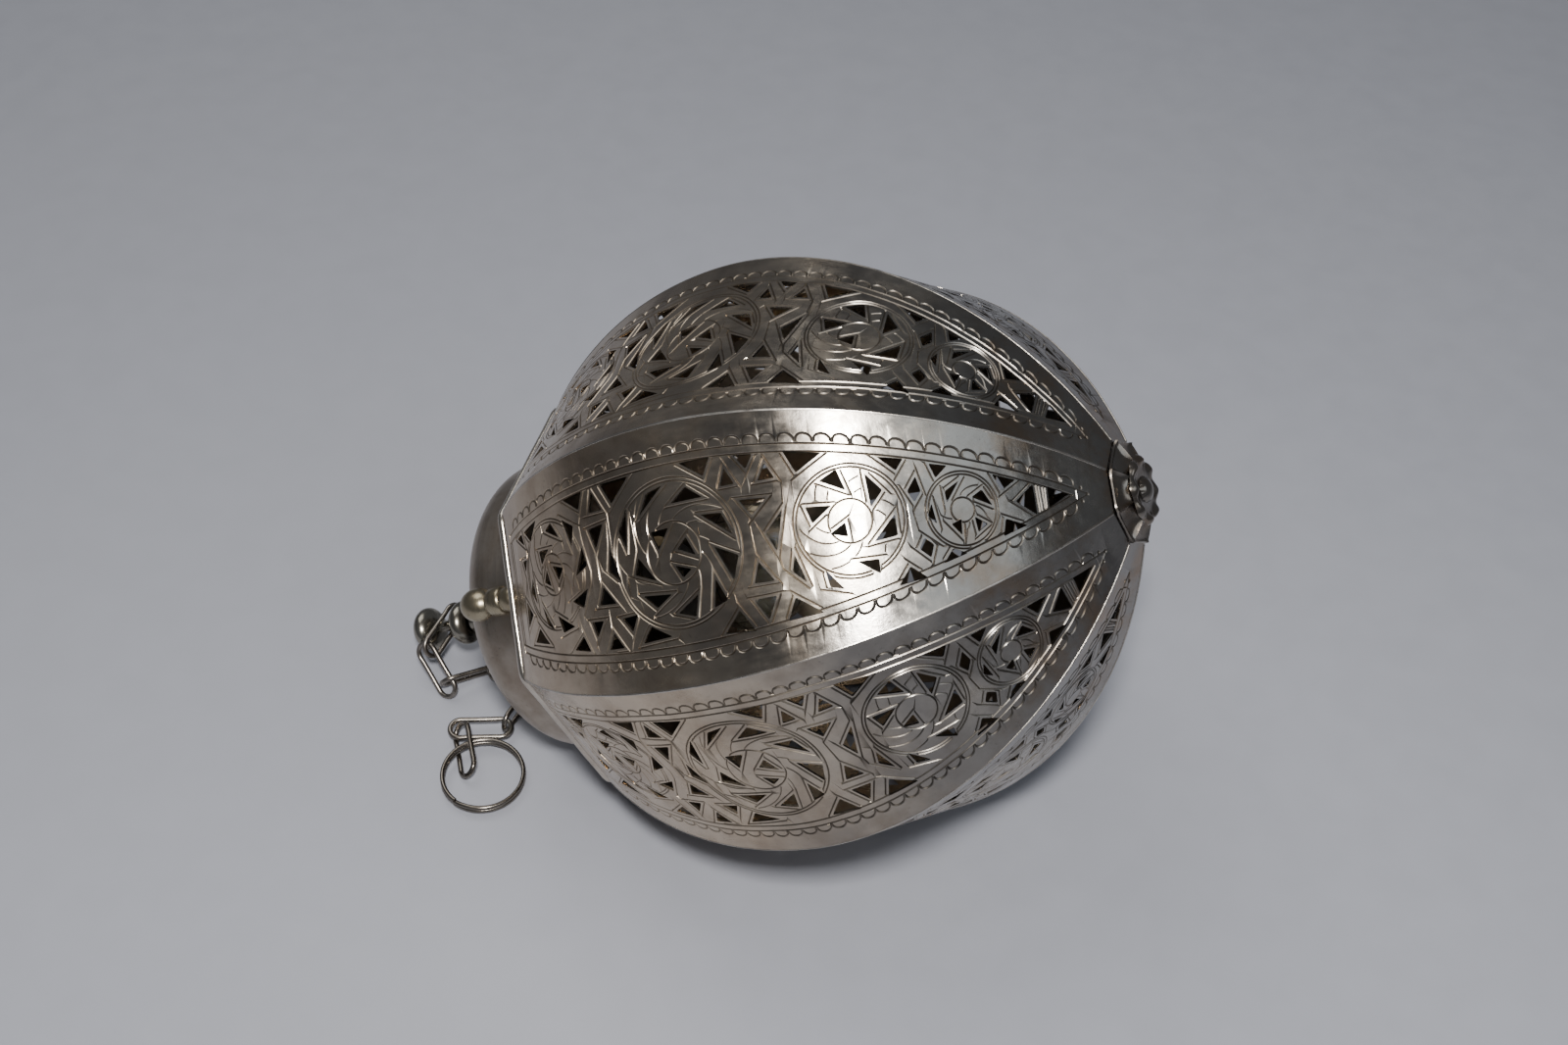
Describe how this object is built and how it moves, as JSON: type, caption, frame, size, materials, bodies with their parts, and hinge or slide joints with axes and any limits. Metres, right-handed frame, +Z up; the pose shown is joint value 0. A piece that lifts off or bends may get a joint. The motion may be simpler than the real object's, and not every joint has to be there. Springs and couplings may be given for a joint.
{
  "type": "hanging lantern",
  "caption": "Octagonal pierced-metal hanging lantern with a hinged cap, thumb knob, lamp holder, and chain ending in a split ring, lying on its side.",
  "frame": {"origin": "centre of the bounding box footprint, on the floor the lantern lies on", "axes": "+X runs along the lying lantern from its finial to its tip, +Z is up from the floor, +Y is to the left when looking from the finial to the tip"},
  "size_m": [0.2684, 0.1902, 0.1971],
  "materials": {
    "gore_metal": "pierced and chased sheet, worn nickel plate with a warm grey-brown patina",
    "aged_nickel": "spun and cast nickel-plated pieces, brushed and aged",
    "brass": "worn brass with fine brushing",
    "chain_wire": "bright drawn wire gone dull grey",
    "holder_black": "black moulded lamp holder",
    "bulb_glass": "clear bulb glass"
  },
  "bodies": {
    "body": {"gore_0": "gore_metal", "gore_1": "gore_metal", "gore_2": "gore_metal", "gore_3": "gore_metal", "gore_4": "gore_metal", "gore_5": "gore_metal", "gore_6": "gore_metal", "gore_7": "gore_metal", "neck_lip": "aged_nickel", "neck_plate": "aged_nickel", "hinge_leaf_body": "brass", "hinge_pin": "brass", "tip_cap": "aged_nickel", "tip_boss": "aged_nickel", "tip_washer": "aged_nickel", "tip_nut": "aged_nickel"},
    "lid": {"lid_flange": "aged_nickel", "lid_drum": "aged_nickel", "finial_foot": "aged_nickel", "finial_spool": "aged_nickel", "hinge_leaf_lid": "brass", "threaded_pipe": "brass", "pipe_washer": "brass", "pipe_nut": "brass", "holder_cap": "brass", "holder_body": "holder_black", "holder_ring": "brass"},
    "knob": {"thumb_knob": "brass"},
    "bulb": {"bulb_cap": "brass", "bulb_glass": "bulb_glass"},
    "link_1": {"chain_link_1": "chain_wire"},
    "link_2": {"chain_link_2": "chain_wire"},
    "link_3": {"chain_link_3": "chain_wire"},
    "link_4": {"chain_link_4": "chain_wire"},
    "link_5": {"chain_link_5": "chain_wire"},
    "link_6": {"chain_link_6": "chain_wire"},
    "link_7": {"chain_link_7": "chain_wire"},
    "ring": {"split_ring": "chain_wire"}
  },
  "joints": [
    {"name": "lid_hinge", "type": "hinge", "parent": "body", "child": "lid", "pos_m": [-0.0253, 0.04617, 0.01756], "axis": [0.3439, -0.7071, -0.6179], "range_deg": [0, 105]},
    {"name": "knob_turn", "type": "hinge", "parent": "lid", "child": "knob", "pos_m": [-0.08228, -0.04278, 0.08765], "axis": [-0.8738, 0, -0.4863], "continuous": true},
    {"name": "bulb_turn", "type": "hinge", "parent": "lid", "child": "bulb", "pos_m": [-0.03526, 0, 0.06486], "axis": [-0.8738, 0, -0.4863], "continuous": true},
    {"name": "chain_swing_1", "type": "hinge", "parent": "lid", "child": "link_1", "pos_m": [-0.12054, 0, 0.0174], "axis": [-0.8738, 0, -0.4863], "range_deg": [-15, 15]},
    {"name": "chain_swing_2", "type": "hinge", "parent": "link_1", "child": "link_2", "pos_m": [-0.12412, -0.01305, 0.01443], "axis": [0.5151, 0.0692, -0.8543], "range_deg": [-15, 5]},
    {"name": "chain_swing_3", "type": "hinge", "parent": "link_2", "child": "link_3", "pos_m": [-0.11249, -0.02116, 0.0024], "axis": [-0.7005, -0.188, -0.6884], "range_deg": [-20, 3]},
    {"name": "chain_swing_4", "type": "hinge", "parent": "link_3", "child": "link_4", "pos_m": [-0.0997, -0.00431, 0.00394], "axis": [0.4193, -0.2724, 0.866], "range_deg": [-20, 20]},
    {"name": "chain_swing_5", "type": "hinge", "parent": "link_4", "child": "link_5", "pos_m": [-0.08013, -0.01023, 0.00513], "axis": [0.204, 0.9045, 0.3744], "range_deg": [-25, 6]},
    {"name": "chain_swing_6", "type": "hinge", "parent": "link_5", "child": "link_6", "pos_m": [-0.08646, -0.03243, 0.00513], "axis": [-0.0183, -0.0037, -0.9998], "range_deg": [-25, 25]},
    {"name": "chain_swing_7", "type": "hinge", "parent": "link_6", "child": "link_7", "pos_m": [-0.10588, -0.03848, 0.00519], "axis": [-0.3152, 0.945, 0.0871], "range_deg": [-12, 6]},
    {"name": "ring_turn", "type": "hinge", "parent": "link_7", "child": "ring", "pos_m": [-0.0866, -0.0542, 0.0035], "axis": [0.0685, -0.0376, 0.9969], "range_deg": [-25, 25]}
  ]
}
